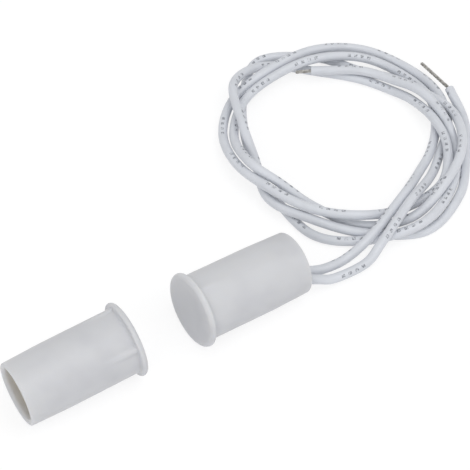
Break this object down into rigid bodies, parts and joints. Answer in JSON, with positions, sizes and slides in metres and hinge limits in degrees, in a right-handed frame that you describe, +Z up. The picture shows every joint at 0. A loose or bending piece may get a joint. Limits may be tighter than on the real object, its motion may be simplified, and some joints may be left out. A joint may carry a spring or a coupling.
{
  "type": "recessed magnetic contact",
  "caption": "Recessed magnetic contact: a flanged round reed switch half with two loosely coiled stripped leads, and a matching open-backed magnet half, lying face to face.",
  "frame": {"origin": "on the surface that the halves lie on, under the middle of the box round the two housings", "axes": "+X along the switch half, from its face to its open end where the leads come out, +Z up; the magnet half lies towards -X"},
  "size_m": [0.086, 0.0456, 0.0109],
  "materials": {
    "housing": "moulded, satin",
    "lead": "soft white wire insulation",
    "conductor": "tinned strands",
    "potting": "cast, slightly glossy",
    "glass": "clear",
    "blade": "drawn wire",
    "sleeve": "plain",
    "solder": "satin",
    "magnet": "dark sintered",
    "glue": "glossy, set from liquid"
  },
  "bodies": {
    "root": {"switch_housing": "housing", "reed_glass": "glass", "blade_front": "blade", "blade_rear": "blade", "wire_sleeve": "sleeve", "solder_a": "solder", "solder_b": "solder", "tail_a": "conductor", "tail_b": "conductor", "potting": "potting", "lead_a": "lead", "lead_b": "lead", "bare_end_a": "conductor", "bare_end_b": "conductor", "magnet_housing": "housing", "magnet": "magnet", "magnet_glue": "glue"}
  },
  "joints": []
}
